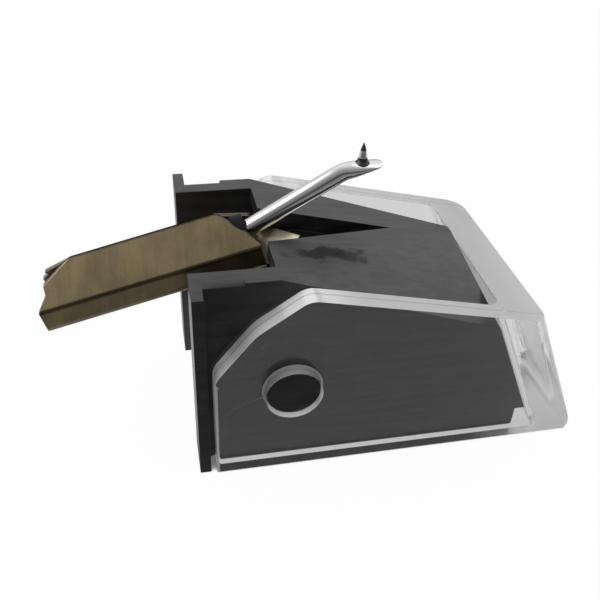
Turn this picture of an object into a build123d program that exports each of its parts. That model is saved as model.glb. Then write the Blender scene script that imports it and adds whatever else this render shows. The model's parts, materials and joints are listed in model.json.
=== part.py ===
"""Removable stylus assembly of a moving-magnet phono cartridge, lying with its stylus tip up.

Millimetres. +X points to the front, +Z is the side that faces the record in use, and the part rests on z = 0.
Lengths along the part are measured from the rear face of the body shell.
"""
import os
from math import cos, radians, sin

from build123d import *

os.makedirs("parts", exist_ok=True)

# Body shell: walls and roof
body_height = 8.4
body_width = 7.57
side_wall = 0.86
roof_thickness = 0.75
front_wall = 1.0
cavity_overrun = 1.0
front_foot = 14.25
front_lean = 0.447
roof_start = 3.14
ridge_fall = 0.109
edge_fall = 0.332
ridge_flat = 0.4

# Body shell: rear hooks, notch, slot, pivot bosses
hook_reach = 0.81
hook_depth = 0.43
shoulder_length = 1.9
shoulder_drop = 0.12
shoulder_width = 0.3
notch_length = 3.11
slot_mouth = 2.48
slot_length = 5.18
pivot_along = 3.63
pivot_height = 3.72
boss_radius = 1.04
boss_height = 0.72
foot_rebate_depth = 0.95
foot_rebate_height = 1.07

# Stylus guard
guard_wall = 0.83
guard_side_gap = 0.09
guard_front_gap = 0.3
guard_front_wall = 1.57
guard_lift = 0.02
guard_dip = 0.325
guard_rise_along = 4.05
guard_fall = 0.216
guard_corner = 0.7
guard_inner_corner = 0.5
guard_foot_round = 0.42
hinge_clearance = 0.06
swing_clearance = 0.05
swing_low_angle = 160.45
swing_high_angle = 115.6
swing_step = 0.21

# Plug folded from brass sheet
plug_tilt = 14.85
plug_sink = 1.0
plug_width = 2.52
plug_wall = 1.0
plug_sheet = 0.18
plug_bend = 0.12
plug_seam = 0.06
plug_tail = 5.59
tail_notch = 0.41
tail_notch_rise = 0.39
tail_edge_rise = 0.66
tail_chamfer = 1.35
mouth_end = 2.98
mouth_edge_rise = 0.3
mouth_chamfer = 1.2
mouth_corner = 0.2
tongue_start = 3.52
tongue_end = 4.56
saddle_depth = 1.2
saddle_thickness = 0.8
bond_gap = 0.02

# Cantilever and what it carries
pivot_on_plug = 2.3
pivot_above_fold = 0.07
arm_tilt = 31.1
arm_length = 4.44
arm_radius = 0.345
arm_bore = 0.26
arm_tail = 0.7
bend_run = 0.55
bend_rise = 0.17
bend_bow = 0.66
paddle_tilt = 11
paddle_length = 1.12
paddle_width = 0.8
paddle_root = 0.58
paddle_end = 0.1
paddle_squareness = 8
paddle_stations = (0, 0.35, 0.65, 0.85, 0.95, 0.995)
shank_on_paddle = 0.32
shank_set = 0.25
shank_radius = 0.17
shank_height = 0.95
shank_taper = 0.26
tip_radius = 0.12
tip_height = 0.3
tip_point = 0.02

# Damper, magnet and tie wire inside the plug
damper_length = 0.6
damper_height = 1.6
damper_side_gap = 0.02
damper_bore_gap = 0.02
sleeve_length = 0.5
sleeve_wall = 0.07
sleeve_gap = 0.01
magnet_radius = 0.28
magnet_length = 1.2
wire_radius = 0.04
wire_length = 0.9
anchor_length = 0.8
anchor_width = 0.9
anchor_height = 0.4
anchor_grip = 0.45

# Derived sizes
half_width = body_width / 2
inner_half_width = half_width - side_wall
guard_inner_half = half_width + guard_side_gap
guard_outer_half = guard_inner_half + guard_wall
guard_rise = body_height - guard_dip
tilt = radians(plug_tilt)
plug_half = plug_width / 2
plug_fold_height = body_height - plug_sink
floor_top = plug_sheet - plug_wall

# Body rear face set so that the whole part is centred on x = 0
guard_foot = front_foot + guard_front_gap + guard_front_wall
foot_round_loss = guard_foot_round * (front_lean + (1 + front_lean**2) ** 0.5 - 1)
front_reach = guard_foot - guard_lift * front_lean - foot_round_loss
rear_reach = plug_tail * cos(tilt)
body_rear = (rear_reach - front_reach) / 2

# Working planes: side views with local y up, plan view, and the plug's and the cantilever's own side views
side_plane = Plane(origin=(body_rear, 0, 0), x_dir=(1, 0, 0), z_dir=(0, -1, 0))
plan_plane = Plane(origin=(body_rear, 0, 0))
plug_plane = Plane(
    origin=(body_rear, 0, plug_fold_height), x_dir=(cos(tilt), 0, sin(tilt)), z_dir=(0, -1, 0)
)
pivot_point = plug_plane.from_local_coords((pivot_on_plug, pivot_above_fold, 0))
arm_angle = radians(arm_tilt)
arm_plane = Plane(origin=pivot_point, x_dir=(cos(arm_angle), 0, sin(arm_angle)), z_dir=(0, -1, 0))


def cross_plane(view, along, above=0.0):
    """Plane across a side view, with local x along Y and its normal along the view's length."""
    origin = view.from_local_coords((along, above, 0))
    return Plane(origin=origin, x_dir=(0, 1, 0), z_dir=view.x_dir)


def around_pivot(radius, angle):
    """Point of the side view at a radius and an angle about the guard's pivot."""
    turn = radians(angle)
    return pivot_along + radius * cos(turn), pivot_height + radius * sin(turn)


def facet_plane(side, drop):
    """Plane of one sloping roof facet, lowered by a drop, with its normal upwards."""
    ridge_front = (front_foot - front_lean * (body_height + ridge_fall * roof_start)) / (
        1 - front_lean * ridge_fall
    )
    ridge_height = body_height - ridge_fall * (ridge_front - roof_start)
    edge_height = body_height - edge_fall * (ridge_front - roof_start)
    facet_slope = (ridge_height - edge_height) / (half_width - ridge_flat / 2)
    return Plane(
        origin=(body_rear + roof_start, side * half_width, body_height - drop),
        x_dir=(1, 0, -edge_fall),
        z_dir=(edge_fall, side * facet_slope, 1),
    )


def roofed_block(width_half, drop, front_inset, overrun):
    """Block under the faceted roof: the shell's outside, or its cavity when lowered and set in."""
    foot = front_foot - front_inset
    top = body_height - drop
    with BuildPart() as block:
        with BuildSketch(side_plane):
            with BuildLine():
                Polyline(
                    (-overrun, -overrun),
                    (foot + front_lean * overrun, -overrun),
                    (foot - front_lean * top, top),
                    (-overrun, top),
                    close=True,
                )
            make_face()
        extrude(amount=width_half, both=True)
        ridge = Plane(
            origin=(body_rear + roof_start, 0, top), x_dir=(1, 0, -ridge_fall), z_dir=(ridge_fall, 0, 1)
        )
        for cut in (ridge, facet_plane(1, drop), facet_plane(-1, drop)):
            split(bisect_by=cut, keep=Keep.BOTTOM)
    return block.part


# Body shell
cavity = roofed_block(inner_half_width, roof_thickness, front_wall, cavity_overrun)

with BuildPart() as body_shell:
    add(roofed_block(half_width, 0, 0, 0))
    add(cavity, mode=Mode.SUBTRACT)
    with BuildSketch(plan_plane.offset(body_height)):
        with Locations((notch_length / 2, 0)):
            Rectangle(notch_length, 2 * inner_half_width)
    extrude(amount=-2 * roof_thickness, mode=Mode.SUBTRACT)
    with BuildSketch(plan_plane.offset(body_height)):
        with BuildLine():
            Polyline(
                (notch_length, -slot_mouth / 2),
                (notch_length + slot_length, 0),
                (notch_length, slot_mouth / 2),
                close=True,
            )
        make_face()
    extrude(amount=-(roof_thickness + ridge_fall * (notch_length + slot_length)), mode=Mode.SUBTRACT)
    with BuildSketch(plan_plane):
        with Locations((hook_depth / 2, 0)):
            Rectangle(hook_depth, body_width + 2 * hook_reach)
            Rectangle(hook_depth, body_width - side_wall, mode=Mode.SUBTRACT)
    extrude(amount=body_height)
    for side in (-1, 1):
        with BuildSketch(cross_plane(side_plane, hook_depth, body_height)):
            with BuildLine():
                Polyline(
                    (side * (half_width - shoulder_width), 0),
                    (side * half_width, 0),
                    (side * half_width, -shoulder_drop),
                    close=True,
                )
            make_face()
        extrude(amount=shoulder_length - hook_depth, mode=Mode.SUBTRACT)
        with BuildSketch(side_plane.offset(side * half_width)):
            with Locations((pivot_along, pivot_height)):
                Circle(boss_radius)
        extrude(amount=side * boss_height)
    with BuildSketch(side_plane):
        with Locations((front_foot - foot_rebate_depth, 0)):
            Rectangle(2 * foot_rebate_depth, foot_rebate_height, align=(Align.MIN, Align.MIN))
    extrude(amount=half_width, both=True, mode=Mode.SUBTRACT)
    with BuildSketch(plug_plane):
        saddle_rise = -plug_wall - bond_gap
        with Locations((mouth_end, saddle_rise)):
            Rectangle(saddle_depth, saddle_thickness, align=(Align.MIN, Align.MAX))
    extrude(amount=half_width - side_wall / 2, both=True)

# Stylus guard
swing_radius = pivot_along - hook_depth - swing_clearance
guard_low = around_pivot(swing_radius, swing_low_angle)
guard_high = around_pivot(swing_radius + swing_step, swing_high_angle)
guard_front_top = (guard_foot - front_lean * (guard_rise + guard_fall * guard_rise_along)) / (
    1 - front_lean * guard_fall
)
guard_front_rise = guard_rise - guard_fall * (guard_front_top - guard_rise_along)
inner_foot = front_foot + guard_front_gap
lean_length = body_height * (1 + front_lean**2) ** 0.5

with BuildPart() as stylus_guard:
    with BuildSketch(side_plane):
        with BuildLine():
            Polyline(
                (guard_low[0], guard_lift),
                guard_low,
                guard_high,
                (guard_rise_along, guard_rise),
                (guard_front_top, guard_front_rise),
                (guard_foot - front_lean * guard_lift, guard_lift),
                close=True,
            )
        profile = make_face()
        fillet(profile.vertices().sort_by(Axis.X)[-1:], guard_foot_round)
    extrude(amount=guard_outer_half, both=True)
    for half, foot, corner, mode in (
        (guard_outer_half, guard_foot, guard_corner, Mode.INTERSECT),
        (guard_inner_half, inner_foot, guard_inner_corner, Mode.SUBTRACT),
    ):
        with BuildSketch(plan_plane):
            with Locations((foot, 0)):
                outline = Rectangle(2 * foot, 2 * half, align=(Align.MAX, Align.CENTER))
            fillet(outline.vertices().sort_by(Axis.X)[-2:], corner)
        extrude(amount=lean_length, dir=(-front_lean, 0, 1), mode=mode)
    with BuildSketch(side_plane):
        with Locations((pivot_along, pivot_height)):
            Circle(boss_radius + hinge_clearance)
    extrude(amount=guard_outer_half, both=True, mode=Mode.SUBTRACT)

# Plug folded from one sheet
plug_plan = Plane(origin=plug_plane.origin, x_dir=plug_plane.x_dir, z_dir=plug_plane.y_dir)
tail_edge = tail_notch - plug_tail
mouth_edge = mouth_end - mouth_corner

with BuildPart() as plug_tube:
    with BuildSketch(cross_plane(plug_plane, -plug_tail)):
        with BuildLine():
            Polyline(
                (-plug_half, -plug_wall),
                (plug_half, -plug_wall),
                (plug_half, 0),
                (0, plug_half),
                (-plug_half, 0),
                close=True,
            )
        outline = make_face()
        folds = outline.vertices().filter_by(lambda corner: abs(corner.X) > plug_seam)
        fillet(folds, plug_bend + plug_sheet)
        offset(amount=-plug_sheet, mode=Mode.SUBTRACT)
        with Locations((0, plug_half)):
            Rectangle(plug_seam, plug_half, mode=Mode.SUBTRACT)
    extrude(amount=plug_tail + tongue_end)
    with BuildSketch(plug_plane):
        with BuildLine():
            Polyline(
                (-plug_tail, 0),
                (tail_edge, tail_notch_rise),
                (tail_edge, tail_edge_rise),
                (tail_edge + tail_chamfer, plug_half),
                (-plug_tail, plug_half),
                close=True,
            )
        make_face()
        with BuildLine():
            Polyline(
                (mouth_end, floor_top),
                (mouth_end, mouth_edge_rise - mouth_corner),
                (mouth_edge, mouth_edge_rise),
                (mouth_edge - mouth_chamfer, plug_half),
                (tongue_end, plug_half),
                (tongue_end, floor_top),
                close=True,
            )
        make_face()
    extrude(amount=plug_half, both=True, mode=Mode.SUBTRACT)
    for side in (-1, 1):
        with BuildSketch(plug_plan):
            with BuildLine():
                Polyline(
                    (tongue_start, side * plug_half),
                    (tongue_end, 0),
                    (tongue_end, side * plug_half),
                    close=True,
                )
            make_face()
        extrude(amount=-plug_wall, mode=Mode.SUBTRACT)

# Rubber damper in the plug's mouth
damper_half = plug_half - plug_sheet - damper_side_gap
damper_floor = floor_top + damper_side_gap
damper_top = damper_floor + damper_height
damper_slope = plug_half - 2**0.5 * (plug_sheet + damper_side_gap)

with BuildPart() as damper:
    with BuildSketch(cross_plane(plug_plane, pivot_on_plug - damper_length / 2)):
        with BuildLine():
            Polyline(
                (-damper_half, damper_floor),
                (damper_half, damper_floor),
                (damper_half, damper_slope - damper_half),
                (damper_slope - damper_top, damper_top),
                (damper_top - damper_slope, damper_top),
                (-damper_half, damper_slope - damper_half),
                close=True,
            )
        outline = make_face()
        fillet(outline.vertices().filter_by(lambda corner: corner.Y < 0), plug_bend)
    extrude(amount=damper_length)
    with BuildSketch(cross_plane(arm_plane, -damper_length)):
        Circle(arm_radius + damper_bore_gap)
    extrude(amount=2 * damper_length, mode=Mode.SUBTRACT)

# Cantilever tube, bent and pinched to a wedge that is bored for the shank
bend_start = arm_plane.from_local_coords((arm_length, 0, 0))
paddle_angle = radians(paddle_tilt)
paddle_plane = Plane(
    origin=bend_start + (bend_run, 0, bend_rise),
    x_dir=(cos(paddle_angle), 0, sin(paddle_angle)),
    z_dir=(0, -1, 0),
)
mid_angle = (arm_angle + paddle_angle) / 2
mid_bend = bend_start + (bend_run / 2, 0, bend_rise * bend_bow)
mid_plane = Plane(origin=mid_bend, x_dir=(0, 1, 0), z_dir=(cos(mid_angle), 0, sin(mid_angle)))
paddle_half = paddle_width / 2
shank_point = paddle_plane.from_local_coords((shank_on_paddle, 0, 0)) - (0, 0, shank_set)


def paddle_section(share):
    """Half width and half thickness of the pinched end at a share of its length."""
    half_thickness = (paddle_root + (paddle_end - paddle_root) * share) / 2
    return paddle_half * (1 - share**paddle_squareness) ** 0.5, half_thickness


with BuildPart() as cantilever:
    with BuildSketch(cross_plane(arm_plane, arm_length)):
        Circle(arm_radius)
    with BuildSketch(mid_plane):
        Ellipse((arm_radius + paddle_half) / 2, (arm_radius + paddle_root / 2) / 2)
    for share in paddle_stations:
        with BuildSketch(cross_plane(paddle_plane, share * paddle_length)):
            Ellipse(*paddle_section(share))
    loft()
    with BuildSketch(cross_plane(arm_plane, -arm_tail)):
        Circle(arm_radius)
    extrude(amount=arm_tail + arm_length)
    with BuildSketch(cross_plane(arm_plane, -arm_tail)):
        Circle(arm_bore)
    extrude(amount=arm_tail + arm_length - arm_radius, mode=Mode.SUBTRACT)
    with BuildSketch(Plane(origin=shank_point - (0, 0, paddle_root))):
        Circle(shank_radius + bond_gap)
    extrude(amount=3 * paddle_root, mode=Mode.SUBTRACT)

# Turned shank through the flattened end, and the ground diamond on top of it
shank_plane = Plane(origin=shank_point, x_dir=(1, 0, 0), z_dir=(0, -1, 0))

with BuildPart() as stylus_shank:
    with BuildSketch(shank_plane):
        with BuildLine():
            Polyline(
                (0, 0),
                (shank_radius, 0),
                (shank_radius, shank_height - shank_taper),
                (tip_radius, shank_height),
                (0, shank_height),
                close=True,
            )
        make_face()
    revolve(axis=Axis(shank_point, (0, 0, 1)))

with BuildPart() as diamond_tip:
    with BuildSketch(shank_plane):
        with BuildLine():
            Polyline(
                (0, shank_height),
                (tip_radius, shank_height),
                (tip_point, shank_height + tip_height),
                (0, shank_height + tip_height),
                close=True,
            )
        cone = make_face()
        fillet(cone.vertices().sort_by(Axis.Y)[-2:].sort_by(Axis.X)[-1:], tip_point)
    revolve(axis=Axis(shank_point, (0, 0, 1)))

# Magnet on the cantilever's rear end, and the sleeve over their joint
magnet_end = -arm_tail - magnet_length

with BuildPart() as magnet_sleeve:
    with BuildSketch(cross_plane(arm_plane, -arm_tail - sleeve_length / 2)):
        Circle(arm_radius + sleeve_gap + sleeve_wall)
        Circle(arm_radius + sleeve_gap, mode=Mode.SUBTRACT)
    extrude(amount=sleeve_length)

with BuildPart() as magnet:
    with BuildSketch(cross_plane(arm_plane, magnet_end)):
        Circle(magnet_radius)
    extrude(amount=magnet_length)

# Tie wire behind the magnet, and the block on the plug's floor that grips it
wire_end = magnet_end - wire_length
anchor_front = pivot_on_plug + (wire_end + anchor_grip) * cos(arm_angle - tilt)

with BuildPart() as tie_wire:
    with BuildSketch(cross_plane(arm_plane, wire_end)):
        Circle(wire_radius)
    extrude(amount=wire_length)

with BuildPart() as wire_anchor:
    with BuildSketch(cross_plane(plug_plane, anchor_front - anchor_length, floor_top + bond_gap)):
        Rectangle(anchor_width, anchor_height, align=(Align.CENTER, Align.MIN))
    extrude(amount=anchor_length)
    with BuildSketch(cross_plane(arm_plane, wire_end)):
        Circle(wire_radius + bond_gap)
    extrude(amount=wire_length, mode=Mode.SUBTRACT)

# One file for each piece
pieces = {
    "body_shell": body_shell,
    "stylus_guard": stylus_guard,
    "plug_tube": plug_tube,
    "damper": damper,
    "cantilever": cantilever,
    "stylus_shank": stylus_shank,
    "diamond_tip": diamond_tip,
    "magnet_sleeve": magnet_sleeve,
    "magnet": magnet,
    "tie_wire": tie_wire,
    "wire_anchor": wire_anchor,
}
for label, piece in pieces.items():
    piece.part.label = label
    export_step(piece.part, f"parts/{label}.step")
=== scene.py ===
"""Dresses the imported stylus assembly: black shell, clear guard, folded brass plug, cantilever and tip.

Places are in millimetres in the part's own frame and are turned into metres where a mesh is made.
"""

import json
import logging
import math
from collections.abc import Callable, Iterator, Sequence
from contextlib import contextmanager
from dataclasses import dataclass
from enum import Enum

import bpy
from mathutils import Matrix, Vector

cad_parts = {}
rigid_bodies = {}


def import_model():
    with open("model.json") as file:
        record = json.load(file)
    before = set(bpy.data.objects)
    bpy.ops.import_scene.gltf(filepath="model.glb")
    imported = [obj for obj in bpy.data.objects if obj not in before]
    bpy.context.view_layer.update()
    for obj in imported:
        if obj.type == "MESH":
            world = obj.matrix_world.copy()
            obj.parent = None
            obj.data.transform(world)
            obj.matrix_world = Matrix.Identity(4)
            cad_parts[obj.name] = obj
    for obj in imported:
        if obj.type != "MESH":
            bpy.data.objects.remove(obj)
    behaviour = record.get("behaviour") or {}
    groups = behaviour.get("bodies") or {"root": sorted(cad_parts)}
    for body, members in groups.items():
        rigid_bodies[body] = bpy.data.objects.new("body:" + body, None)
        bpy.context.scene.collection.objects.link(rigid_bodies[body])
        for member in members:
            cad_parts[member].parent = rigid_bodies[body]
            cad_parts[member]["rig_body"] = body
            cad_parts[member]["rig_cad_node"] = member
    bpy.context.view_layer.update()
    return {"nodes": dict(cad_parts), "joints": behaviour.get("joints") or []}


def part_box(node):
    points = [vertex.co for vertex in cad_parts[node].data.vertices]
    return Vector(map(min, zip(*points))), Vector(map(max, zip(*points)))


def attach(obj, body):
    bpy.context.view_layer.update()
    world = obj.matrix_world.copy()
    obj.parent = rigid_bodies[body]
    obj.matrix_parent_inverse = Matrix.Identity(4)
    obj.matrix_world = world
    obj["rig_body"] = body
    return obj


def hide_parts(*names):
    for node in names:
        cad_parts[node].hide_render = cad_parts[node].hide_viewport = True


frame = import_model()

LOG = logging.getLogger("stylus_assembly")
MM = 0.001
# How near, in millimetres, an edge lies to the face that it is picked by
NEAR = 0.02
# A distance in millimetres that no part of the object reaches
FAR = 99.0
# Least share of a picked edge's direction that lies along its axis
ALONG = 0.95
DOWN = (0.0, 0.0, -1.0)
WHITE = (1.0, 1.0, 1.0)
Colour = tuple[float, float, float]
Triple = tuple[float, float, float]
Span = tuple[float, float]
Oval = tuple[Triple, Triple]


class Body(Enum):
    """Moving bodies of the part."""

    ROOT = "root"
    GUARD = "guard"
    SUSPENSION = "suspension"
    CANTILEVER = "cantilever"


class Slot(Enum):
    """Material slots of the part's record."""

    BLACK = "black_plastic"
    CLEAR = "clear_plastic"
    BRASS = "brass_sheet"
    RUBBER = "damper_rubber"
    ALUMINIUM = "aluminium_tube"
    STEEL = "shank_steel"
    DIAMOND = "diamond"
    MAGNET = "magnet_metal"


class Axis(Enum):
    """Axes of the part's frame, by their index in a vector."""

    X = 0
    Y = 1
    Z = 2


# Selection and edit mode


def clear_selection() -> None:
    """Deselects every object."""
    bpy.ops.object.select_all(action="DESELECT")


def make_active(piece: bpy.types.Object) -> None:
    """Selects one object alone and makes it the active one.

    Args:
        piece: The object to work on.
    """
    clear_selection()
    piece.select_set(True)
    bpy.context.view_layer.objects.active = piece


def rename(piece: bpy.types.Object, name: str) -> None:
    """Names a piece and its mesh alike."""
    piece.name = name
    piece.data.name = name


@contextmanager
def editing(piece: bpy.types.Object) -> Iterator[None]:
    """Holds a piece in edit mode with all of its mesh selected.

    Args:
        piece: The object to edit.

    Yields:
        Nothing; the piece is back in object mode afterwards.
    """
    make_active(piece)
    bpy.ops.object.mode_set(mode="EDIT")
    bpy.ops.mesh.select_all(action="SELECT")
    yield
    bpy.ops.object.mode_set(mode="OBJECT")


@contextmanager
def editing_edges(piece: bpy.types.Object, wanted: Callable[[bpy.types.MeshEdge], bool]) -> Iterator[None]:
    """Holds a piece in edit mode with chosen edges selected.

    Args:
        piece: The object to edit.
        wanted: Tells whether an edge is selected.

    Yields:
        Nothing; the piece is back in object mode afterwards.
    """
    with editing(piece):
        bpy.ops.mesh.select_mode(type="EDGE")
        bpy.ops.mesh.select_all(action="DESELECT")
    for line in piece.data.edges:
        line.select = wanted(line)
    bpy.ops.object.mode_set(mode="EDIT")
    yield
    bpy.ops.object.mode_set(mode="OBJECT")


def apply_modifiers(piece: bpy.types.Object) -> None:
    """Applies every modifier of a piece in order.

    Args:
        piece: The object that carries the modifiers.
    """
    make_active(piece)
    for modifier in list(piece.modifiers):
        bpy.ops.object.modifier_apply(modifier=modifier.name)


# Shapes


@dataclass(frozen=True)
class EdgeBreak:
    """Small rounding that a moulded or pressed edge has.

    Attributes:
        width: Rounding width in millimetres.
        segments: Steps across the rounding.
        sharper_than: Edges that turn by more than this angle in degrees are rounded.
        clamp: Whether the rounding stops where it would meet another one.
    """

    width: float
    segments: int = 3
    sharper_than: float = 34.0
    clamp: bool = True


@dataclass(frozen=True)
class EdgePick:
    """Picks edges by their direction and the place of their middle, alike on both sides of the part.

    Attributes:
        axis: The axis that they run along.
        low: Lower limits of the middle along X, from the middle plane, and along Z, in millimetres.
        high: Upper limits in the same order.
    """

    axis: Axis
    low: Triple
    high: Triple

    def takes(self, first: Vector, second: Vector) -> bool:
        """Tells whether an edge is picked.

        Args:
            first: One end in millimetres.
            second: The other end.

        Returns:
            True for a picked edge.
        """
        middle = (first + second) / 2
        place = (middle.x, abs(middle.y), middle.z)
        inside = all(low < at < high for low, at, high in zip(self.low, place, self.high))
        return inside and abs((second - first).normalized()[self.axis.value]) > ALONG


def copy_of_node(node: str, name: str) -> bpy.types.Object:
    """Copies a CAD node's mesh into a new piece with merged, flat faces.

    Args:
        node: Name of the CAD node.
        name: Name of the new piece.

    Returns:
        The new piece, at the origin and riding on nothing yet.
    """
    make_active(frame["nodes"][node])
    bpy.ops.object.duplicate()
    piece = bpy.context.active_object
    rename(piece, name)
    piece.parent = None
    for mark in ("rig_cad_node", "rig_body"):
        del piece[mark]
    piece.data.materials.clear()
    with editing(piece):
        bpy.ops.mesh.remove_doubles(threshold=1e-4 * MM)
        bpy.ops.mesh.customdata_custom_splitnormals_clear()
        bpy.ops.mesh.dissolve_limited(angle_limit=math.radians(0.3))
    return piece


def soften(piece: bpy.types.Object, angle: float) -> None:
    """Shades a piece's roundings smooth and keeps its flat faces flat in the light.

    Args:
        piece: The piece to finish.
        angle: Edges that turn by more than this angle in degrees stay sharp.
    """
    make_active(piece)
    bpy.ops.object.shade_smooth_by_angle(angle=math.radians(angle))
    piece.modifiers.new("flat_faces", "WEIGHTED_NORMAL").keep_sharp = True
    apply_modifiers(piece)


def break_edges(piece: bpy.types.Object, edge: EdgeBreak) -> None:
    """Rounds a piece's sharp edges.

    Args:
        piece: The piece to finish.
        edge: Size of the rounding.
    """
    bevel = piece.modifiers.new("edge_break", "BEVEL")
    bevel.width = edge.width * MM
    bevel.segments = edge.segments
    bevel.limit_method = "ANGLE"
    bevel.angle_limit = math.radians(edge.sharper_than)
    bevel.use_clamp_overlap = edge.clamp
    apply_modifiers(piece)
    soften(piece, edge.sharper_than)


def round_edges(piece: bpy.types.Object, edge: EdgeBreak, pick: EdgePick) -> None:
    """Rounds chosen edges of a piece.

    Args:
        piece: The piece to shape.
        edge: Size of the rounding; its angle isn't used.
        pick: Which edges are rounded.
    """
    points = piece.data.vertices
    with editing_edges(piece, lambda line: pick.takes(*(points[index].co / MM for index in line.vertices))):
        bpy.ops.mesh.bevel(
            offset=edge.width * MM, segments=edge.segments, affect="EDGES", clamp_overlap=edge.clamp
        )


def heading(tilt: float) -> Vector:
    """Direction in the side view at an angle in degrees above +X."""
    return Vector((math.cos(math.radians(tilt)), 0, math.sin(math.radians(tilt))))


def upright_to(tilt: float) -> Vector:
    """Upward direction in the side view at a right angle to that heading."""
    return Vector((-math.sin(math.radians(tilt)), 0, math.cos(math.radians(tilt))))


def joint_place(name: str) -> Vector:
    """Place of a joint in millimetres."""
    return Vector(next(j for j in frame["joints"] if j["name"] == name)["pos_m"]) / MM


@dataclass(frozen=True)
class Ring:
    """One oval section of a drawn or turned piece.

    Attributes:
        centre: Place in millimetres.
        lean: Angle of the section's axis above +X in the side view, in degrees.
        half_width: Half size along Y in millimetres.
        half_depth: Half size across, in the side view, in millimetres.
    """

    centre: Vector
    lean: float
    half_width: float
    half_depth: float

    def turn(self) -> Matrix:
        """Rotation that lays a circle in the XY plane into this section."""
        return Matrix((Vector((0, 1, 0)), upright_to(self.lean), heading(self.lean))).transposed()


def skin_rings(name: str, rings: Sequence[Ring], around: int, smooth: float) -> bpy.types.Object:
    """Skins a row of sections into one closed piece.

    Args:
        name: Name of the piece.
        rings: Sections in order.
        around: Points on each section.
        smooth: Edges that turn by less than this angle in degrees are shaded smooth.

    Returns:
        The closed piece.
    """
    sections = []
    for ring in rings:
        clear_selection()
        bpy.ops.mesh.primitive_circle_add(
            vertices=around,
            radius=1,
            fill_type="NOTHING",
            location=ring.centre * MM,
            rotation=ring.turn().to_euler(),
        )
        bpy.context.active_object.scale = (ring.half_width * MM, ring.half_depth * MM, 1)
        bpy.ops.object.transform_apply(location=True, rotation=True, scale=True)
        sections.append(bpy.context.active_object)
    piece = sections[0]
    rename(piece, name)
    make_active(piece)
    for section in sections:
        section.select_set(True)
    bpy.ops.object.join()
    with editing(piece):
        bpy.ops.mesh.bridge_edge_loops()
        bpy.ops.mesh.select_all(action="SELECT")
        bpy.ops.mesh.fill_holes(sides=0)
        bpy.ops.mesh.select_all(action="SELECT")
        bpy.ops.mesh.normals_make_consistent(inside=False)
    bpy.ops.object.shade_smooth_by_angle(angle=math.radians(smooth))
    return piece


# Shader trees


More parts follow.
